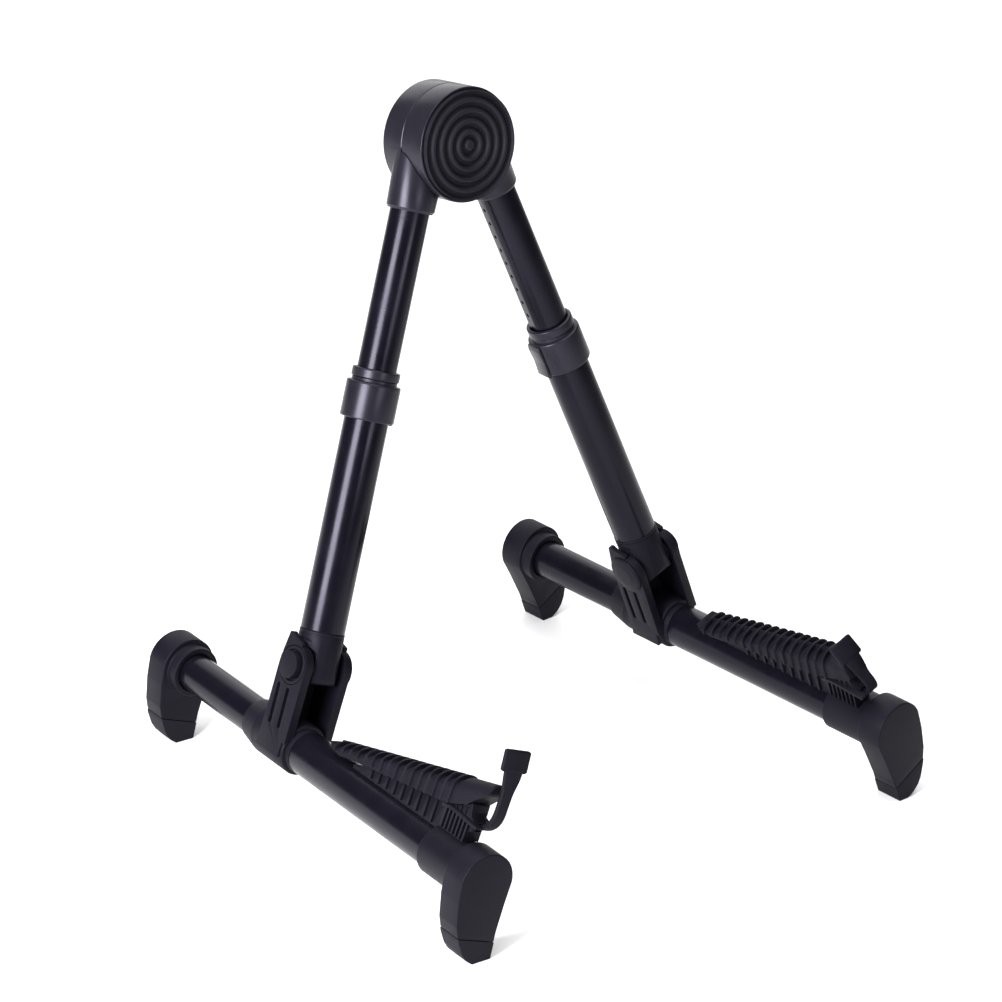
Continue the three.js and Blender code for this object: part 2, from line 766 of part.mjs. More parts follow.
// ---- assembly -------------------------------------------------------------------------------
const LOOKS = {
  shell: { color: 0x17171a, roughness: 0.42, metalness: 0 },
  tube: { color: 0x121215, roughness: 0.28, metalness: 0 },
  foot: { color: 0x1a1a1c, roughness: 0.6, metalness: 0 },
  rubber: { color: 0x1d1d1d, roughness: 0.9, metalness: 0 },
  steel: { color: 0xb9bcc0, roughness: 0.35, metalness: 1 },
};

const group = new THREE.Group();
group.name = 'folding_instrument_stand';

function place(name, geometry, look, frame) {
  const baked = geometry.clone().applyMatrix4(frame);
  const flat = baked.index ? baked.toNonIndexed() : baked;
  flat.computeVertexNormals();
  const material = new THREE.MeshStandardMaterial(LOOKS[look]);
  material.name = name;
  const mesh = new THREE.Mesh(flat, material);
  mesh.name = name;
  group.add(mesh);
}

place('left_hub_shell', hubShell(-1), 'shell', hubFrame());
place('right_hub_shell', hubShell(1), 'shell', hubFrame());
place('hub_pad', hubPad(), 'rubber', hubFrame());
place('hub_bolt', hubBolt(), 'steel', hubFrame());
place('hub_nut', hubNut(), 'steel', hubFrame());
place('wave_washer', waveWasher(), 'steel', hubFrame());
place('rear_cap', rearCap(), 'shell', hubFrame());

for (const [word, side] of [['left', -1], ['right', 1]]) {
  const leg = legFrame(side);
  const bar = barFrame(side);
  place(`${word}_upper_tube`, upperTube(side), 'tube', leg);
  place(`${word}_height_ring`, heightRing(side), 'shell', leg);
  place(`${word}_height_collar`, heightCollar(side), 'shell', leg);
  place(`${word}_lock_rocker`, lockRocker(side), 'shell', leg);
  place(`${word}_lower_tube`, lowerTube(side), 'tube', leg);
  place(`${word}_knuckle`, knuckle(side), 'foot', leg);
  place(`${word}_yoke`, yoke(side), 'foot', bar);
  place(`${word}_knuckle_pin`, knucklePin(side), 'steel', bar);
  place(`${word}_pin_cap`, pinCap(side), 'foot', bar);
  place(`${word}_release_button`, releaseButton(side), 'foot', bar);
  place(`${word}_release_spring`, releaseSpring(side), 'steel', bar);
  place(`${word}_front_tube`, frontTube(), 'tube', bar);
  place(`${word}_rear_tube`, rearTube(), 'tube', bar);
  place(`${word}_cradle_bracket`, cradleBracket(tabSeat()), 'foot', bar);
  place(`${word}_cradle_arm`, cradleArm(side), 'rubber', bar);
  place(`${word}_retaining_tab`, retainingTab(side), 'rubber', bar);
  place(`${word}_front_foot`, frontFoot(side), 'foot', bar);
  place(`${word}_front_sole`, footSole(side, FRONT_FACE, FRONT_PLATE), 'rubber', bar);
  place(`${word}_rear_foot`, rearFoot(side), 'foot', bar);
  place(`${word}_rear_sole`, footSole(side, REAR_PLATE, REAR_FACE), 'rubber', bar);
}

export default group;
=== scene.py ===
"""Looks for the folding instrument stand. The builders work in millimetres in local frames."""
import math
import bmesh
import bpy
from mathutils import Matrix, Vector


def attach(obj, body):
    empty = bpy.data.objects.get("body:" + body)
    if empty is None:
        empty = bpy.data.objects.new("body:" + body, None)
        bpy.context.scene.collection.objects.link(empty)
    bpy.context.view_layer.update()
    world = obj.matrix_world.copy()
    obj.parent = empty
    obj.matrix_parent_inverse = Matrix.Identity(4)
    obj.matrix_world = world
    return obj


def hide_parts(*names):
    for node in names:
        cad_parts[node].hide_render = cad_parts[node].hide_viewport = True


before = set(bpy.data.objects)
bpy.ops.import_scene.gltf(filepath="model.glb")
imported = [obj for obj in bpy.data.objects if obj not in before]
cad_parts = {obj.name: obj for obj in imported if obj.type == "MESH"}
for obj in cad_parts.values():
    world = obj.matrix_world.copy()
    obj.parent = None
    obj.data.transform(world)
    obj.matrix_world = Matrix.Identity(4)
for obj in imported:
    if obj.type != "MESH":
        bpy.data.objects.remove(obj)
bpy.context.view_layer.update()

# ---- frames: the same stance as the CAD --------------------------------------------
MM = 0.001
HUB = (-1.98, 83.46, 371.2)      # between the two halves of the hub
SPREAD = math.radians(20.7)      # each leg, out from the middle
TILT = math.radians(10.55)       # foot bar, from square to the leg
LEG = 310.4                      # hub to knuckle pin, down the leg
OFFSET = 16.73                   # leg's axis beside the hub's middle
DROP = 46.25                     # knuckle pin to the foot bar's axis
FOOT_TURN = math.radians(10.7)   # right feet, about the bar
ROW_TURN = math.radians(8)       # hole row and lock, to the rear
LEAN = math.atan(math.cos(SPREAD) * math.tan(TILT))
SIDES = (("left", -1), ("right", 1))

# ---- shared sizes -------------------------------------------------------------------
HUB_R = 33.4
SPLIT = 0.15                     # each half's face, from the plane between them
PAD_FACE = -21.3
PAD_FIRST, PAD_PITCH, PAD_DEEP = 4.8, 6.1, 2.0
UPPER_BORE, UPPER_R = 10.2, 11.5
LOWER_BORE, LOWER_R = 11.8, 13
HOLE_FIRST, HOLE_PITCH, HOLE_COUNT = 52, 9.2, 14
PIN_BORE = 4.2
EAR_WAY = 13.6                   # room for the yoke's ears, about the pin
RIB_FIRST, RIB_PITCH, RIB_COUNT = -49.5, 6.95, 16
TAB_ROOT = (-173, 24.6)
FRONT_PLATE, REAR_PLATE = (-197, -179.5), (108.4, 125)
SOLE_TOP = -33.5                 # where a foot's plate stops and its rubber sole begins


def hub_frame():
    return Matrix.Translation(HUB) @ Matrix.Rotation(-LEAN, 4, "X")


def leg_frame(side):
    out = Matrix.Rotation(-side * SPREAD, 4, "Y")
    return hub_frame() @ out @ Matrix.Translation((side * OFFSET, 0, 0))


def bar_frame(side):
    down = Matrix.Translation((0, 0, -LEG)) @ Matrix.Rotation(TILT, 4, "X")
    return leg_frame(side) @ down @ Matrix.Translation((0, 0, -DROP))


AXES = {
    "y": Matrix.Identity(4),
    "x": Matrix.Rotation(-math.pi / 2, 4, "Z"),
    "z": Matrix.Rotation(math.pi / 2, 4, "X"),
}


# ---- mesh builders ------------------------------------------------------------------
def smooth(t):
    t = min(max(t, 0), 1)
    return t * t * (3 - 2 * t)


def along(points, t):
    """Straight-line value at t in a list of (t, value) points, t falling."""
    for (t0, v0), (t1, v1) in zip(points, points[1:]):
        if t >= t1:
            return v0 + (v1 - v0) * (t0 - t) / (t0 - t1)
    return points[-1][1]


def fillet(points, closed=False):
    """Rounds the corners of an outline. A point is (u, v) or (u, v, radius)."""
    steps = 4
    out = []
    n = len(points)
    for i, p in enumerate(points):
        r = p[2] if len(p) > 2 else 0
        if r <= 0 or (not closed and i in (0, n - 1)):
            out.append((p[0], p[1]))
            continue
        here = Vector(p[:2])
        a = Vector(points[i - 1][:2]) - here
        b = Vector(points[(i + 1) % n][:2]) - here
        angle = a.angle(b)
        if angle > math.pi - 0.02:
            out.append((p[0], p[1]))
            continue
        reach = min(r / math.tan(angle / 2), a.length * 0.49, b.length * 0.49)
        start = here + a.normalized() * reach
        end = here + b.normalized() * reach
        for k in range(steps + 1):
            t = k / steps
            q = start * (1 - t) ** 2 + here * 2 * t * (1 - t) + end * t * t
            out.append((q.x, q.y))
    return out


def turned(axis, points, sides=72):
    """Closed solid of revolution. Points are (radius, station[, fillet]), from low to high."""
    ring = fillet(points)
    closed = ring[0][0] > 1e-6
    bm = bmesh.new()
    loops = []
    for r, h in ring:
        if r < 1e-6:
            loops.append([bm.verts.new((0, h, 0))])
        else:
            turn = [2 * math.pi * k / sides for k in range(sides)]
            corners = [(r * math.sin(t), h, r * math.cos(t)) for t in turn]
            loops.append([bm.verts.new(corner) for corner in corners])
    pairs = list(zip(loops, loops[1:]))
    if closed:
        pairs.append((loops[-1], loops[0]))
    for low, high in pairs:
        for k in range(sides):
            n = (k + 1) % sides
            if len(low) == 1 and len(high) == 1:
                continue
            if len(low) == 1:
                bm.faces.new((low[0], high[n], high[k]))
            elif len(high) == 1:
                bm.faces.new((low[k], low[n], high[0]))
            else:
                bm.faces.new((low[k], low[n], high[n], high[k]))
    bmesh.ops.recalc_face_normals(bm, faces=bm.faces)
    bm.transform(AXES[axis])
    return bm


def rod(axis, a, b, r, edge=0.0, sides=72):
    return turned(axis, [(0, a), (r, a, edge), (r, b, edge), (0, b)], sides)


def pipe(axis, a, b, bore, r, sides=96):
    """Tube wall with its open ends rounded a little on the outside."""
    return turned(axis, [(bore, a), (r, a, 0.3), (r, b, 0.3), (bore, b)], sides)


def slab(axis, outline, a, b):
    """Outline pushed along an axis: (y, z) along x, (x, z) along y, (x, y) along z."""
    points = fillet(outline, closed=True)
    bm = bmesh.new()

    def at(u, v, w):
        return {"x": (w, u, v), "y": (u, w, v), "z": (u, v, w)}[axis]

    low = [bm.verts.new(at(u, v, a)) for u, v in points]
    high = [bm.verts.new(at(u, v, b)) for u, v in points]
    bm.faces.new(low)
    bm.faces.new(high)
    n = len(points)
    for k in range(n):
        bm.faces.new((low[k], low[(k + 1) % n], high[(k + 1) % n], high[k]))
    bmesh.ops.recalc_face_normals(bm, faces=bm.faces)
    return bm


def block(x0, x1, y0, y1, z0, z1):
    return slab("x", [(y0, z0), (y1, z0), (y1, z1), (y0, z1)], x0, x1)


def moved(bm, x=0, y=0, z=0):
    bm.transform(Matrix.Translation((x, y, z)))
    return bm


def spun(bm, angle, axis):
    bm.transform(Matrix.Rotation(angle, 4, axis))
    return bm


def face_inward(bm, side):
    """Turns a piece drawn facing +x so that it faces the other leg."""
    return spun(bm, math.pi - ROW_TURN if side > 0 else ROW_TURN, "Z")


def flipped(obj, side):
    """Mirror image for the right leg of a piece drawn for the left leg."""
    if side > 0:
        bm = bmesh.new()
        bm.from_mesh(obj.data)
        bm.transform(Matrix.Scale(-1, 4, (1, 0, 0)))
        bmesh.ops.reverse_faces(bm, faces=bm.faces)
        bm.to_mesh(obj.data)
        bm.free()
    return obj


def as_mesh(obj):
    """Takes an object apart into its mesh."""
    bm = bmesh.new()
    bm.from_mesh(obj.data)
    bpy.data.objects.remove(obj)
    return bm


def as_object(bm, name="tmp"):
    mesh = bpy.data.meshes.new(name)
    bm.to_mesh(mesh)
    bm.free()
    obj = bpy.data.objects.new(name, mesh)
    bpy.context.scene.collection.objects.link(obj)
    return obj


def settle(obj):
    """Applies every modifier."""
    graph = bpy.context.evaluated_depsgraph_get()
    mesh = bpy.data.meshes.new_from_object(obj.evaluated_get(graph))
    old = obj.data
    obj.modifiers.clear()
    obj.data = mesh
    bpy.data.meshes.remove(old)


def boolean(obj, bm, how):
    tool = as_object(bm, "tool")
    mod = obj.modifiers.new("b", "BOOLEAN")
    mod.operation = how
    mod.solver = "EXACT"
    mod.object = tool
    settle(obj)
    bpy.data.objects.remove(tool)


def solid(first, add=(), cut=()):
    obj = as_object(first)
    for bm in add:
        boolean(obj, bm, "UNION")
    for bm in cut:
        boolean(obj, bm, "DIFFERENCE")
    return obj


def dress(obj, look):
    obj.data.materials.clear()
    obj.data.materials.append(look)


def finish_piece(obj, name, body, nodes, slot, look, place, bevel=0.0, segments=2, crease=35):
    """Names, places, rounds and dresses a piece, ties it to its body and hides the CAD nodes that
    it stands in for.
    """
    obj.name = name
    obj.data.name = name
    bm = bmesh.new()
    bm.from_mesh(obj.data)
    bmesh.ops.remove_doubles(bm, verts=bm.verts, dist=0.002)
    if bevel:
        flat = math.radians(0.5)
        bmesh.ops.dissolve_limit(bm, angle_limit=flat, verts=bm.verts, edges=bm.edges)
    bm.transform(Matrix.Scale(MM, 4) @ place)
    bm.to_mesh(obj.data)
    bm.free()
    if bevel:
        mod = obj.modifiers.new("round", "BEVEL")
        mod.width = bevel * MM
        mod.segments = segments
        mod.limit_method = "ANGLE"
        mod.angle_limit = math.radians(32)
        mod.use_clamp_overlap = True
        mod.harden_normals = False
        settle(obj)
    obj.data.shade_smooth()
    obj.data.set_sharp_from_angle(angle=math.radians(crease))
    dress(obj, look)
    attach(obj, body)
    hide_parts(*nodes)


# ---- materials ----------------------------------------------------------------------
def plastic(name, colour, rough, grain, bump, spec=0.5, dust=0.12):
    """Moulded plastic or rubber: mottled colour and gloss, fine grain, dusty upward faces."""
    mat = bpy.data.materials.new(name)
    mat.use_nodes = True
    nt = mat.node_tree
    n = nt.nodes
    ln = nt.links.new
    bsdf = n["Principled BSDF"]
    bsdf.inputs["Specular IOR Level"].default_value = spec
    bsdf.inputs["Specular Tint"].default_value = (0.83, 0.80, 1.0, 1)
    coord = n.new("ShaderNodeTexCoord")
    broad = n.new("ShaderNodeTexNoise")
    broad.inputs["Scale"].default_value = 38
    broad.inputs["Detail"].default_value = 5
    fine = n.new("ShaderNodeTexNoise")
    fine.inputs["Scale"].default_value = grain
    fine.inputs["Detail"].default_value = 3
    for tex in (broad, fine):
        ln(coord.outputs["Object"], tex.inputs["Vector"])
    ramp = n.new("ShaderNodeValToRGB")
    ramp.color_ramp.elements[0].position = 0.3
    ramp.color_ramp.elements[1].position = 0.72
    ramp.color_ramp.elements[0].color = [c * 0.82 for c in colour] + [1]
    ramp.color_ramp.elements[1].color = [c * 1.18 for c in colour] + [1]
    ln(broad.outputs["Fac"], ramp.inputs["Fac"])
    geo = n.new("ShaderNodeNewGeometry")
    split = n.new("ShaderNodeSeparateXYZ")
    ln(geo.outputs["Normal"], split.inputs["Vector"])
    up = n.new("ShaderNodeMapRange")
    up.inputs["From Min"].default_value = 0.55
    up.inputs["From Max"].default_value = 1.0
    up.inputs["To Max"].default_value = dust
    ln(split.outputs["Z"], up.inputs["Value"])
    speck = n.new("ShaderNodeMath")
    speck.operation = "MULTIPLY"
    ln(up.outputs["Result"], speck.inputs[0])
    ln(broad.outputs["Fac"], speck.inputs[1])
    mix = n.new("ShaderNodeMix")
    mix.data_type = "RGBA"
    ln(speck.outputs["Value"], mix.inputs["Factor"])
    ln(ramp.outputs["Color"], mix.inputs["A"])
    mix.inputs["B"].default_value = (0.03, 0.028, 0.036, 1)
    ln(mix.outputs["Result"], bsdf.inputs["Base Color"])
    gloss = n.new("ShaderNodeMapRange")
    gloss.inputs["From Min"].default_value = 0.3
    gloss.inputs["From Max"].default_value = 0.7
    gloss.inputs["To Min"].default_value = rough - 0.05
    gloss.inputs["To Max"].default_value = rough + 0.06
    ln(broad.outputs["Fac"], gloss.inputs["Value"])
    ln(gloss.outputs["Result"], bsdf.inputs["Roughness"])
    relief = n.new("ShaderNodeBump")
    relief.inputs["Strength"].default_value = bump
    relief.inputs["Distance"].default_value = 0.0003
    ln(fine.outputs["Fac"], relief.inputs["Height"])
    ln(relief.outputs["Normal"], bsdf.inputs["Normal"])
    return mat


def metal(name, colour, rough):
    mat = plastic(name, colour, rough, 900, 0.1, dust=0.0)
    mat.node_tree.nodes["Principled BSDF"].inputs["Metallic"].default_value = 1.0
    return mat


# colour, roughness, grain, depth of the grain
SHELL = plastic("shell_black", (0.0075, 0.0068, 0.0105), 0.30, 1500, 0.12, spec=0.25)
TUBE = plastic("tube_black", (0.0022, 0.0018, 0.0040), 0.24, 700, 0.05, spec=0.18)
FOOT = plastic("foot_black", (0.0040, 0.0035, 0.0062), 0.46, 1900, 0.3, spec=0.09)
RUBBER = plastic("rubber_black", (0.0040, 0.0035, 0.0060), 0.58, 1300, 0.3, spec=0.09)
SOLE = plastic("sole_black", (0.0058, 0.0053, 0.0082), 0.66, 1100, 0.35, spec=0.13)
STEEL = metal("steel", (0.60, 0.61, 0.63), 0.3)


def add_painted_groove_shade(mat):
    """Painted shade: darkens a material in rings about the hub axis, where the pad's grooves lie
    in shade.
    """
    nt = mat.node_tree
    n = nt.nodes
    ln = nt.links.new
    coord = n.new("ShaderNodeTexCoord")
    local = n.new("ShaderNodeMapping")
    local.vector_type = "TEXTURE"
    local.inputs["Location"].default_value = [c * MM for c in HUB]
    local.inputs["Rotation"].default_value = (-LEAN, 0, 0)
    ln(coord.outputs["Object"], local.inputs["Vector"])
    flat = n.new("ShaderNodeVectorMath")
    flat.operation = "MULTIPLY"
    flat.inputs[1].default_value = (1, 0, 1)
    ln(local.outputs["Vector"], flat.inputs[0])
    radius = n.new("ShaderNodeVectorMath")
    radius.operation = "LENGTH"
    ln(flat.outputs["Vector"], radius.inputs[0])
    phase = n.new("ShaderNodeMath")
    phase.operation = "MULTIPLY_ADD"
    phase.inputs[1].default_value = 2 * math.pi / (PAD_PITCH * MM)
    phase.inputs[2].default_value = -2 * math.pi * PAD_FIRST / PAD_PITCH
    ln(radius.outputs["Value"], phase.inputs[0])
    wave = n.new("ShaderNodeMath")
    wave.operation = "COSINE"
    ln(phase.outputs["Value"], wave.inputs[0])
    # Painted shade: strongest in the grooves of the ring wave, none on the ridges.
    groove_shade = n.new("ShaderNodeMapRange")
    groove_shade.inputs["From Min"].default_value = -0.4
    groove_shade.inputs["From Max"].default_value = 0.6
    groove_shade.inputs["To Max"].default_value = 0.75
    ln(wave.outputs["Value"], groove_shade.inputs["Value"])
    bsdf = n["Principled BSDF"]
    plain_colour = bsdf.inputs["Base Color"].links[0].from_socket
    # Blends toward the near-black colour of the painted groove shade.
    mix = n.new("ShaderNodeMix")
    mix.data_type = "RGBA"
    mix.inputs["B"].default_value = (0.0015, 0.0014, 0.002, 1)
    ln(groove_shade.outputs["Result"], mix.inputs["Factor"])
    ln(plain_colour, mix.inputs["A"])
    ln(mix.outputs["Result"], bsdf.inputs["Base Color"])
    return mat


# The pad's colour has painted shade in its grooves.
PAD = add_painted_groove_shade(plastic("pad_rubber", (0.0068, 0.0062, 0.0092), 0.60, 1300, 0.3, spec=0.17))


# ---- hub ------------------------------------------------------------------------------
def hub_half(side):
    """Disc with a neck for one leg. The rear half holds the nut, the front half the pad."""
    r = HUB_R
    if side < 0:
        disc = turned("y", [
            (0, SPLIT), (r - 0.3, SPLIT), (r, SPLIT + 0.5, 0.4), (r, 17.9, 1.6), (12, 17.9),
            (12, 15.8), (8.7, 15.8), (8.7, 9.2), (4.5, 9.2), (4.5, 9.0), (0, 9.0),
        ], 128)
        room = rod("y", -40, SPLIT, r + 0.5, sides=128)
    else:
        disc = turned("y", [
            (0, -15.4), (31.75, -15.4), (31.75, -17.5), (32.1, -17.9, 0.2), (r, -17.9, 0.9),
            (r, -SPLIT - 0.5, 0.4), (r - 0.3, -SPLIT), (0, -SPLIT),
        ], 128)
        room = rod("y", -SPLIT, 40, r + 0.5, sides=128)
    neck = turned("z", [
        (0, -43.5), (11.8, -43.5), (13.2, -43.5, 0.4), (13.5, -42.4, 0.3), (14.1, -42.2, 0.5),
        (15.4, -2), (0, -2),
    ])
    socket = rod("z", -48, -34.3, 11.7)
    for bm in (neck, socket):
        moved(bm, side * OFFSET)
        spun(bm, -side * SPREAD, "Y")
    trimmed = as_mesh(solid(neck, cut=[room]))
    return solid(disc, add=[trimmed], cut=[socket])


def hub_pad():
    """Rubber disc that stands proud of the rim, with five broad ring grooves."""
    points = [(0, PAD_FACE)]
    r = PAD_FIRST - PAD_PITCH / 2
    while r < PAD_FIRST + 4.45 * PAD_PITCH:
        wave = 0.5 + 0.5 * math.cos(2 * math.pi * (r - PAD_FIRST) / PAD_PITCH)
        points.append((r, PAD_FACE + PAD_DEEP * smooth(wave)))
        r += PAD_PITCH / 20
    points += [(31.5, PAD_FACE, 0.7), (31.5, -15.7), (0, -15.7)]
    return as_object(turned("y", points, 128))


def rear_plug():
    return as_object(turned("y", [
        (0, 16.1), (11.7, 16.1), (11.7, 17.9, 0.6), (8, 17.9), (7.6, 17.6), (0, 17.6),
    ]))


hub = hub_frame()
finish_piece(hub_half(-1), "hub_rear_half", "hub_base", ["left_hub_shell"], "shell", SHELL,
             hub, bevel=0.35)
finish_piece(hub_half(1), "hub_front_half", "right_upper", ["right_hub_shell"], "shell", SHELL,
             hub, bevel=0.35)
finish_piece(hub_pad(), "ringed_pad", "right_upper", ["hub_pad"], "rubber", PAD, hub)
finish_piece(rear_plug(), "rear_plug", "hub_base", ["rear_cap"], "shell", SHELL, hub)
for node in ("hub_bolt", "hub_nut", "wave_washer"):
    dress(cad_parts[node], STEEL)


# ---- legs -----------------------------------------------------------------------------
def upper_tube(side):
    """Tube with a flat on its inner side and the lock's row of holes down the flat."""
    tube = pipe("z", -200, -34.6, UPPER_BORE, UPPER_R)
    tools = [block(11.0, 20, -12, 12, -201, -43.8)]
    for i in range(HOLE_COUNT):
        hole = rod("x", 4, 20, 1.2, sides=24)
        tools.append(moved(hole, 0, 0, -HOLE_FIRST - HOLE_PITCH * i))
    for tool in tools:
        face_inward(tool, side)
    return solid(tube, cut=tools)


def height_ring():
    return as_object(turned("z", [
        (LOWER_BORE, -141.3), (13.6, -141.3), (14, -140.9, 0.3), (14, -136, 0.9),
        (12.4, -135.7, 0.3), (LOWER_BORE, -136),
    ], 96))


def height_collar(side):
    """Collar with a pocket for the lock, and room under the lock's tail and tooth to rock."""
    outer = turned("z", [
        (0, -165), (15.8, -165, 0.9), (15.8, -143.6, 1.4), (13.3, -143.4), (13.3, -141.6, 0.2),
        (0, -141.6),
    ], 96)
    bore = rod("z", -170, -140, LOWER_BORE)
    seat = rod("z", -170, -150.7, 13.2)
    pocket = block(14.0, 24, -6.3, 6.3, -170, -144.2)
    drop = block(6, 24, -6.3, 6.3, -170, -156.5)
    tooth_way = block(6, 24, -2.2, 2.2, -149.4, -144.8)
    ways = [face_inward(bm, side) for bm in (pocket, drop, tooth_way)]
    return solid(outer, cut=[bore, seat] + ways)


def lock_rocker(side):
    body = slab("y", [
        (14.3, -166.5), (15.6, -166.5, 0.6), (16.4, -165, 1), (15.8, -156.5, 2),
        (16.4, -147.6, 1.2), (15.6, -144.6, 0.8), (14.3, -144.6),
    ], -6, 6)
    tooth = slab("y", [(11.9, -147.7), (14.5, -148.7), (14.5, -145.5), (11.9, -146.5)], -0.9, 0.9)
    return as_object(face_inward(as_mesh(solid(body, add=[tooth])), side))


def lower_tube():
    return as_object(pipe("z", -288.7, -151, LOWER_BORE, LOWER_R))


def arc(cx, cy, r, a0, a1, steps=20):
    out = []
    for i in range(steps + 1):
        a = math.radians(a0 + (a1 - a0) * i / steps)
        out.append((cx + r * math.cos(a), cy + r * math.sin(a)))
    return out


def knuckle():
    """Carries the tube's round on down to the pin, with a way for each ear of the yoke."""
    profile = [(-14, -270)] + arc(-6.5, -LEG - 2.5, 6.5, 180, 270) + arc(0, -LEG, 9, 270, 388)
    profile += [(8, -LEG + 9), (14, -LEG + 9), (14, -270)]
    lobe = slab("x", profile, -20, 20)
    obj = as_object(turned("z", [
        (0, -LEG - 20), (13.2, -LEG - 20), (13.2, -289, 0.4), (0, -289),
    ], 96))
    boolean(obj, lobe, "INTERSECT")
    tools = [rod("x", -20, 20, PIN_BORE, sides=32)]
    way = arc(0, 0, EAR_WAY, 0, 180, 40) + [(-EAR_WAY, -19), (EAR_WAY, -19)]
    for low, high in ((-21, -8.7), (11.7, 21)):
        tools.append(slab("x", way, low, high))
    for low, high in ((-20, -11.6), (11.6, 20)):
        for r in (14.2, 16.4):
            a, b = r - 0.3, r + 0.3
            tools.append(turned("x", [(a, low), (b, low), (b, high), (a, high)], 96))
    for tool in tools:
        moved(tool, 0, 0, -LEG)
    low, high = -LEG + 19.6, -LEG + 20.1
    tools.append(turned("z", [(12.9, low), (14, low), (14, high), (12.9, high)], 96))
    return solid(rod("z", -292, -270, 11.5, edge=0.5), add=[as_mesh(obj)], cut=tools)


# ---- yoke -----------------------------------------------------------------------------
def yoke():
    """Fork on a sleeve: two ears with horns and fins, and a wall behind the knuckle."""
    ear = [(-15.2, 3)] + arc(0, DROP, 12.5, 190, 6) + [(12.4, 44), (9.6, 12), (9.6, 3)]
    horn = [(-2, 56), (-2.4, 60.6, 1), (6.4, 62.4), (8.4, 63.7, 0.6), (11, 62.9, 0.8), (12.2, 50)]
    wall = [(9.8, 52), (9.8, 36), (6.2, 10), (9.4, 10), (12.3, 44), (12.3, 52)]
    sleeve = turned("y", [
        (0, -34), (11.3, -34, 0.5), (11.3, -18), (13.1, -18), (13.1, -14.4), (14.9, -14.2, 0.4),
        (15.5, -13.2), (15.5, 18, 1), (12.6, 32, 0.4), (0, 32),
    ], 96)
    parts = [
        block(-16.5, 17, -12.5, 9.6, -6, 4),
        slab("x", ear, -16.5, -11),
        slab("x", ear, 12, 17),
        slab("x", horn, -16.5, -13.7),
        slab("x", horn, 14.2, 17),
        slab("x", wall, -15.5, 16),
        moved(rod("x", -12, -9, 9), 0, 0, DROP),
    ]
    cuts = [
        moved(rod("x", -30, 30, PIN_BORE, sides=32), 0, 0, DROP),
        moved(rod("x", -20, -12.6, 11.6), 0, 0, DROP),
        moved(rod("x", -20, -10.8, 8), 0, 0, DROP),
        rod("y", 14.7, 40, 11.6),
    ]
    for y in (5.8, -3.2):
        slot = [(y - 0.9, 33, 1.2), (y + 1.9, 33, 1.2), (y - 0.7, 9, 1.2), (y - 3.5, 9, 1.2)]
        cuts.append(slab("x", slot, -20, -14))
        cuts.append(slab("x", slot, 14.5, 20))
    return solid(sleeve, add=parts, cut=cuts)


def pin_cap():
    bm = turned("x", [
        (0, 17.3), (12, 17.3), (12, 17.9, 0.4), (10.6, 18.8, 1), (6, 19.6, 2), (0, 19.8),
    ])
    return as_object(moved(bm, 0, 0, DROP))


def release_button():
    """Raised ring around a plain recessed face."""
    bm = turned("x", [
        (0, -15.4), (8.9, -15.4, 0.4), (9.3, -17.0, 0.4), (11.0, -17.0, 0.8), (11.4, -15.6),
        (11.4, -13.9), (0, -13.9),
    ])
    return as_object(moved(bm, 0, 0, DROP))


# ---- foot bars --------------------------------------------------------------------------
def foot_outline(side):
    points = arc(-0.9, 0.4, 17.5, 8, 184, 28)
    points += [
        (-15.9, -13, 6), (-11.4, -27, 6), (-6.4, -36, 4), (-1.2, -42.6, 4), (3, -46, 3),
        (8, -47.6, 3), (17.6, -47.6, 2.5), (19.6, -43.5, 2.0), (17.4, -28, 5), (16.6, -10, 5),
    ]
    return [(-side * p[0],) + tuple(p[1:]) for p in points]


def plate(side, a, b, low, high):
    """Part of a foot's outline between two heights. The right feet are turned."""
    obj = as_object(slab("y", foot_outline(side), a, b))
    boolean(obj, block(-40, 40, a - 1, b + 1, low, high), "INTERSECT")
    out = as_mesh(obj)
    if side > 0:
        spun(out, -FOOT_TURN, "Y")
    return out


def front_foot(side):
    socket = turned("y", [
        (0, -181), (15.2, -181), (15.2, -149.5, 0.7), (13.3, -149.5), (13.3, -176.3), (0, -176.3),
    ], 96)
    return solid(plate(side, *FRONT_PLATE, SOLE_TOP, 40), add=[socket])


def rear_foot(side):
    ring = rod("y", 101, 110, 15.2, edge=0.8, sides=96)
    bore = rod("y", 100, 121.3, 11.6)
    return solid(plate(side, *REAR_PLATE, SOLE_TOP, 40), add=[ring], cut=[bore])


def sole(side, a, b):
    """Rubber end of a foot, trimmed flat where it stands."""
    bm = plate(side, a, b, -60, SOLE_TOP - 0.25)
    floor = block(-400, 400, -400, 400, -60, 0)
    floor.transform(bar_frame(side).inverted())
    return solid(bm, cut=[floor])


# ---- cradle -----------------------------------------------------------------------------
def arm_top(y):
    return 17.8 + 0.2435 * (-y - 41.7)


def arm_edge(y):
    return 19.4 + 0.2 * (-y - 58)


def arm_under(y):
    if y > -55:
        return 14.6 + (y + 55) * 0.13
    return 14.6 + 0.145 * (-y - 54.8)


# Nose of each arm, (y, z) along its underside and over its top. The right tab is folded
# back over its arm, so that nose is squeezed.
NOSE_UNDER = {
    -1: [(-153, 28.84), (-162, 32.2), (-168, 34.6), (-173, 39.3), (-181, 45.2), (-182, 47)],
    1: [(-153, 28.84), (-162, 32.2), (-170, 33.2), (-172.5, 34.8), (-173.3, 36.5)],
}
NOSE_TOP = {
    -1: [(-179.5, 52), (-181, 51.2), (-181.7, 49.8), (-182, 47.6)],
    1: [(-160, 47), (-165, 46.3), (-168.5, 44.2), (-171.8, 40.3), (-173.3, 37)],
}


def rib_wave(y):
    """1 on a rib, 0 in a groove."""
    t = (RIB_FIRST - y) / RIB_PITCH
    if t < -0.5 or t > RIB_COUNT - 0.5:
        return 0.0
    d = abs(t - round(t)) * RIB_PITCH
    return 1 - min(max((d - 0.75) / 0.55, 0), 1)


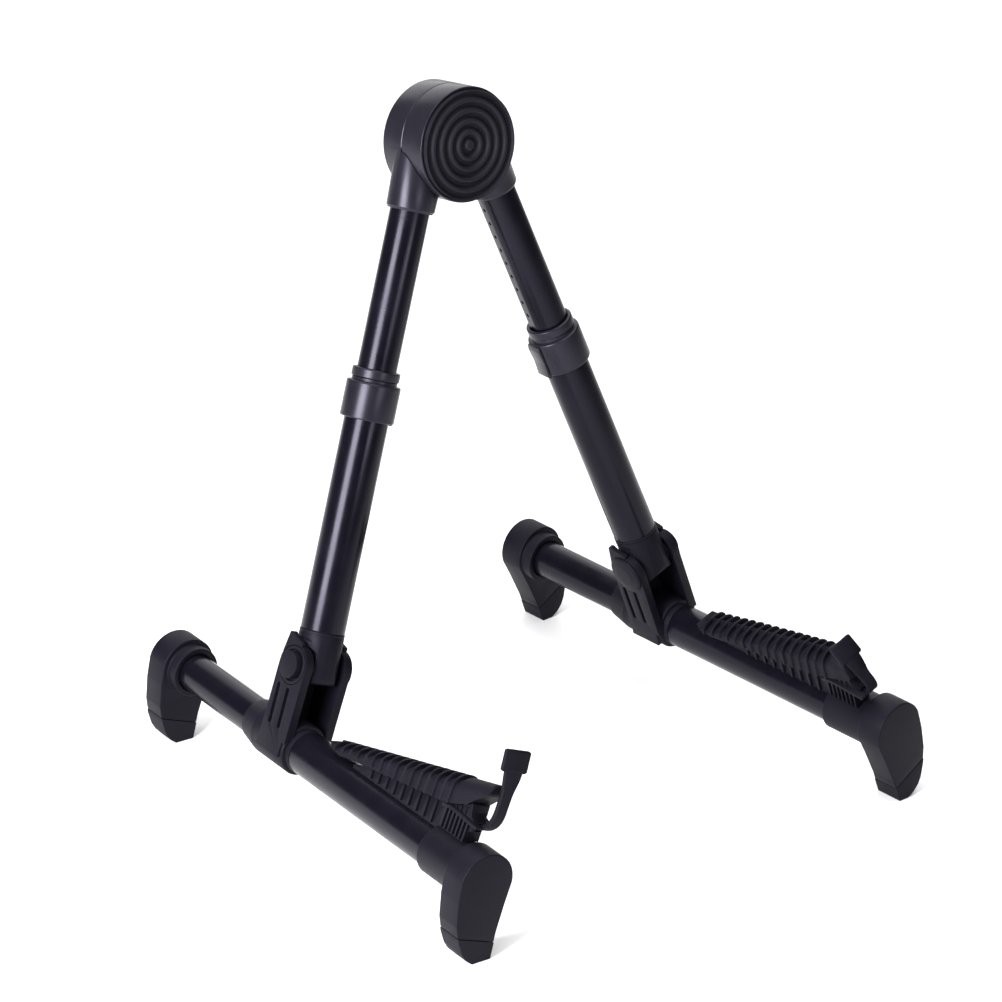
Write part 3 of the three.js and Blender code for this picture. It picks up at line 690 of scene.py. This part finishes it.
def cradle_arm(side):
    """Ribbed wedge with a domed top, lofted from the thin end to the nose."""
    under_line, top_line = NOSE_UNDER[side], NOSE_TOP[side]
    tip_y = under_line[-1][0]
    fold_y = top_line[0][0]
    stations = []
    y = -42.0
    while y > -160.5:
        stations.append(y)
        t = ((RIB_FIRST - y) / RIB_PITCH + 0.5) % 1.0 - 0.5
        d = abs(t) * RIB_PITCH
        y -= 0.28 if 0.5 < d < 1.6 else 0.6
    while y > tip_y + 1.2:
        stations.append(y)
        y -= 0.7
    stations += [tip_y + 0.9, tip_y + 0.5, tip_y + 0.2, tip_y]
    bm = bmesh.new()
    rings = []
    side_n, crown_n = 9, 20
    for y in stations:
        nose = smooth((-y - 160) / (-tip_y - 160))
        top = arm_top(y) - 1.2 + 1.8 * smooth((-y - 154.5) / 4)
        if y < fold_y:
            top = along(top_line, y)
        under = arm_under(y) if y > -153 else along(under_line, y)
        tip = smooth((y + 46) / 4)
        under += tip * 1.2
        edge = max(min(arm_edge(y) - 0.8, top - 3.2 + 2.2 * nose), under + 0.3)
        w = 8.6 - tip * 1.6 - nose * 1.4
        wave = rib_wave(y)
        reach = 1.5 + 9.5 * smooth((-y - 62) / 60)
        profile = []
        for k in range(side_n + 1):
            z = under + (edge - under) * k / side_n
            grown = wave * smooth((z - (edge - reach)) / 1.5)
            profile.append((-(w + grown * 1.1), z))
        crown = max(top - edge, 0.4)
        for k in range(1, crown_n):
            a = math.pi * k / crown_n
            x = -math.cos(a) * w
            z = edge + crown * math.sin(a) ** 0.85
            spine = 1.0 if abs(x) < 1.15 and -154 < y < -44 else 0.0
            lift = max(wave, spine)
            profile.append((x - math.cos(a) * wave * 1.1, z + lift * (1.0 + 1.9 * math.sin(a))))
        for k in range(side_n, -1, -1):
            z = under + (edge - under) * k / side_n
            grown = wave * smooth((z - (edge - reach)) / 1.5)
            profile.append((w + grown * 1.1, z))
        rings.append([bm.verts.new((x, y, z)) for x, z in profile])
    n = len(rings[0])
    for a, b in zip(rings, rings[1:]):
        for k in range(n):
            m = (k + 1) % n
            bm.faces.new((a[k], a[m], b[m], b[k]))
    bm.faces.new(rings[0])
    bm.faces.new(rings[-1])
    bmesh.ops.recalc_face_normals(bm, faces=bm.faces)
    return as_object(bm)


# Middle line of each tab after its root, (y, z): upright on the left, folded back on the right.
TAB_LINE = {
    -1: [
        (-177.5, 25.2), (-181.5, 27.2), (-185, 30.8), (-186.9, 36), (-187.1, 45),
        (-186.9, 55), (-186.4, 62), (-184.5, 75),
    ],
    1: [
        (-177.5, 24.8), (-181, 26.4), (-182.6, 29.5), (-181.3, 33), (-177, 37.8),
        (-174, 42.2), (-170, 46.8), (-162, 55),
    ],
}
TAB_SECTION = (
    (-1, -0.6), (-0.93, -1), (0.93, -1), (1, -0.6), (1, 0.6), (0.93, 1), (-0.93, 1), (-1, 0.6),
)


def bend(points):
    """Smooth line through points."""
    steps = 8
    out = []
    for i in range(len(points) - 1):
        p0 = Vector(points[max(i - 1, 0)])
        p1 = Vector(points[i])
        p2 = Vector(points[i + 1])
        p3 = Vector(points[min(i + 2, len(points) - 1)])
        for k in range(steps):
            t = k / steps
            q = 0.5 * (2 * p1 + (p2 - p0) * t + (2 * p0 - 5 * p1 + 4 * p2 - p3) * t * t
                       + (3 * p1 - p0 - 3 * p2 + p3) * t ** 3)
            out.append(q)
    out.append(Vector(points[-1]))
    return out


def tab(side):
    """Flat rubber tongue with a wider head, swept along its bent line."""
    line = bend([TAB_ROOT] + TAB_LINE[side])
    length = [0.0]
    for a, b in zip(line, line[1:]):
        length.append(length[-1] + (b - a).length)
    total = length[-1]
    bm = bmesh.new()
    rings = []
    half_t = 1.3

    def at(s):
        for i in range(len(line) - 1):
            if length[i + 1] >= s:
                t = (s - length[i]) / max(length[i + 1] - length[i], 1e-6)
                return line[i].lerp(line[i + 1], t), (line[i + 1] - line[i]).normalized()
        return line[-1], (line[-1] - line[-2]).normalized()

    head = total - 12.6
    shoulder = [head + d for d in (-0.35, -0.05, 0.15, 0.6, 1.2)]
    end = [total - d for d in (1.2, 0.6, 0.2, 0)]
    for s in sorted([k * total / 60 for k in range(59)] + shoulder + end):
        p, d = at(s)
        nrm = Vector((-d.y, d.x))
        w = 3.7 + 1.8 * smooth((s - head + 14) / 14)
        if s > head - 0.1:
            w = 8.2 - 1.0 * (1 - smooth((s - head) / 1.1)) ** 2
        if s > total - 1.2:
            w = 8.2 - 1.2 * ((s - total + 1.2) / 1.2) ** 2.5
        t = half_t * (1 - 0.35 * max((s - total + 0.6) / 0.6, 0) ** 2)
        twist = math.radians(8) * smooth((s - head + 20) / 20) if side < 0 else 0
        ring = []
        for u, v in TAB_SECTION:
            q = p + nrm * (v * t + u * w * math.sin(twist))
            ring.append(bm.verts.new((u * w * math.cos(twist), q.x, q.y)))
        rings.append(ring)
    for a, b in zip(rings, rings[1:]):
        for k in range(len(a)):
            m = (k + 1) % len(a)
            bm.faces.new((a[k], a[m], b[m], b[k]))
    bm.faces.new(rings[0])
    bm.faces.new(rings[-1])
    bmesh.ops.recalc_face_normals(bm, faces=bm.faces)
    bead = moved(rod("x", -3.7, 3.7, 2.0, edge=0.3, sides=24), 0, *TAB_ROOT)
    return solid(bm, add=[bead])


def bracket():
    """Saddle on the front tube: ribbed wedge, lump under the nose, lips beside the tab."""
    wedge = slab("x", [(-66, 6), (-66, 14, 0.5), (-76, 17.3), (-153, 28.3), (-153, 6)], -6, 6)
    lump = as_object(slab("x", [
        (-150, 6), (-150, 26), (-154, 28.7), (-162, 31.8), (-168, 34.2), (-171.4, 37.2, 1),
        (-172.4, 32, 1), (-174, 29.5), (-177, 27.6, 1), (-177, 22.5), (-173.5, 21, 2),
        (-172, 14, 2), (-168, 6),
    ], -6.5, 6.5))
    plan = [(-6.5, -140), (6.5, -140), (6.5, -168)] + arc(0, -168.5, 6.5, 0, -60) + [(2.4, -177.2)]
    plan += [(-5.8, -177.2, 0.6), (-6.5, -176.4)]
    boolean(lump, slab("z", plan, 0, 60), "INTERSECT")
    parts = [as_mesh(lump)]
    for low, high, end in ((-9.2, -5, -182.5), (5, 9.2, -171)):
        parts.append(slab("x", [
            (-150, 26.2), (-150, 28), (-157, 29.2), (-166, 28.8), (end, 27.2, 0.8),
            (end, 25.4, 0.6), (-166, 26.9), (-158, 27.4),
        ], low, high))
    for i in range(9):
        y = -84 - i * 7.4
        parts.append(block(-7.6, 7.6, y - 0.9, y + 0.9, 13.4, arm_under(y) - 0.5))
    for i in range(7):
        y = -153.5 - 3.4 * i
        parts.append(block(-8.3, 8.2 if i < 3 else 0, y - 0.6, y + 0.6, 15, 27.4))
    for i in range(4):
        y = -156 - 4 * i
        parts.append(block(-7.6, 7.2 if i < 3 else 0, y - 0.7, y + 0.7, 27, 29.4 + 1.25 * i))
    x, z = TAB_ROOT
    mouth = [(x, z + 2.2), (-196, z + 2.2), (-196, z - 13.2), (x, z - 2.1)]
    cuts = [
        rod("y", -220, -40, 13.3, sides=96),
        rod("y", -220, -149.2, 15.5, sides=96),
        moved(rod("x", -4, 4, 2.3, sides=32), 0, x, z),
        slab("x", mouth, -4, 4),
    ]
    return solid(wedge, add=parts, cut=cuts)


def front_tube():
    return as_object(turned("y", [(11.6, -176), (13, -176), (13, -18.3, 0.3), (11.6, -18.3)], 96))


def rear_tube():
    return as_object(turned("y", [(10, 15), (11.3, 15), (11.3, 121), (10, 121)], 96))


# ---- every piece of both legs ---------------------------------------------------------------
for word, side in SIDES:
    leg = leg_frame(side)
    bar = bar_frame(side)
    upper = "hub_base" if side < 0 else "right_upper"
    lower = f"{word}_lower"
    foot = f"{word}_foot"

    def put(obj, name, body, slot, look, place, **more):
        node = f"{word}_{name}"
        finish_piece(obj, f"{node}_skin", body, [node], slot, look, place, **more)

    put(upper_tube(side), "upper_tube", upper, "tube", TUBE, leg)
    put(height_ring(), "height_ring", lower, "shell", SHELL, leg)
    put(height_collar(side), "height_collar", lower, "shell", SHELL, leg, bevel=0.3)
    put(lock_rocker(side), "lock_rocker", f"{word}_lock", "shell", SHELL, leg, bevel=0.5)
    put(lower_tube(), "lower_tube", lower, "tube", TUBE, leg)
    put(flipped(knuckle(), side), "knuckle", lower, "foot", FOOT, leg, bevel=0.25)
    put(flipped(yoke(), side), "yoke", foot, "foot", FOOT, bar, bevel=0.6, segments=3)
    put(flipped(pin_cap(), side), "pin_cap", foot, "foot", FOOT, bar)
    button = flipped(release_button(), side)
    put(button, "release_button", f"{word}_button", "foot", FOOT, bar)
    put(front_tube(), "front_tube", foot, "tube", TUBE, bar)
    put(rear_tube(), "rear_tube", foot, "tube", TUBE, bar)
    put(bracket(), "cradle_bracket", foot, "foot", FOOT, bar, bevel=0.3)
    put(cradle_arm(side), "cradle_arm", foot, "rubber", RUBBER, bar, crease=50)
    put(tab(side), "retaining_tab", f"{word}_tab", "rubber", RUBBER, bar, crease=60)
    put(front_foot(side), "front_foot", foot, "foot", FOOT, bar, bevel=1.5, segments=4)
    put(rear_foot(side), "rear_foot", foot, "foot", FOOT, bar, bevel=1.3, segments=4)
    for name, span in (("front_sole", FRONT_PLATE), ("rear_sole", REAR_PLATE)):
        put(sole(side, *span), name, foot, "rubber", SOLE, bar, bevel=1.2, segments=4)
    for node in ("knuckle_pin", "release_spring"):
        dress(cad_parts[f"{word}_{node}"], STEEL)


# ---- floor, light and camera ----------------------------------------------------------------
def floor_material():
    mat = bpy.data.materials.new("floor")
    mat.use_nodes = True
    n = mat.node_tree.nodes
    noise = n.new("ShaderNodeTexNoise")
    noise.inputs["Scale"].default_value = 3
    ramp = n.new("ShaderNodeValToRGB")
    ramp.color_ramp.elements[0].color = (0.86, 0.86, 0.865, 1)
    ramp.color_ramp.elements[1].color = (0.90, 0.90, 0.90, 1)
    mat.node_tree.links.new(noise.outputs["Fac"], ramp.inputs["Fac"])
    bsdf = n["Principled BSDF"]
    mat.node_tree.links.new(ramp.outputs["Color"], bsdf.inputs["Base Color"])
    bsdf.inputs["Roughness"].default_value = 0.85
    return mat


bpy.ops.mesh.primitive_plane_add(size=30, location=(0, 0, 0))
floor = bpy.context.object
floor.name = "floor"
floor.data.materials.append(floor_material())

scene = bpy.context.scene
scene.view_settings.view_transform = "Standard"
scene.view_settings.look = "None"
world = bpy.data.worlds.new("studio")
scene.world = world
world.use_nodes = True
sky = world.node_tree.nodes["Background"]
sky.inputs["Color"].default_value = (0.95, 0.96, 1.0, 1)
sky.inputs["Strength"].default_value = 0.18


def area(name, place, aim, size, power, tall=None):
    data = bpy.data.lights.new(name, "AREA")
    data.shape = "RECTANGLE"
    data.size = size
    data.size_y = tall or size
    data.energy = power
    obj = bpy.data.objects.new(name, data)
    obj.location = place
    obj.rotation_euler = (Vector(aim) - Vector(place)).to_track_quat("-Z", "Y").to_euler()
    scene.collection.objects.link(obj)


area("key", (-1.28, -0.21, 0.63), (0, 0, 0.2), 0.62, 52, 0.8)
area("edge", (-0.09, -1.43, 0.62), (-0.08, 0.06, 0.34), 0.6, 4.4, 0.18)
area("back", (1.1, 1.6, 1.0), (0, 0.1, 0.15), 2.4, 19, 1.5)
area("top", (0.0, 0.1, 2.2), (0, 0, 0.1), 2.4, 66)

AZ, EL, ROLL = math.radians(-40.17), math.radians(25.01), math.radians(2.254)
CAMERA_FROM_HUB = (-1670.8, -2038.9, 1004.0)
back = Vector((math.sin(AZ) * math.cos(EL), -math.cos(AZ) * math.cos(EL), math.sin(EL)))
right0 = (-back).cross(Vector((0, 0, 1))).normalized()
up0 = right0.cross(-back)
right = right0 * math.cos(ROLL) + up0 * math.sin(ROLL)
up = -right0 * math.sin(ROLL) + up0 * math.cos(ROLL)
cam_data = bpy.data.cameras.new("camera")
cam_data.lens = 177.0
cam_data.sensor_width = 36
cam_data.clip_end = 50
camera = bpy.data.objects.new("camera", cam_data)
pose = Matrix((right, up, back)).transposed().to_4x4()
pose.translation = Vector([h + c for h, c in zip(HUB, CAMERA_FROM_HUB)]) * MM
camera.matrix_world = pose
scene.collection.objects.link(camera)
scene.camera = camera
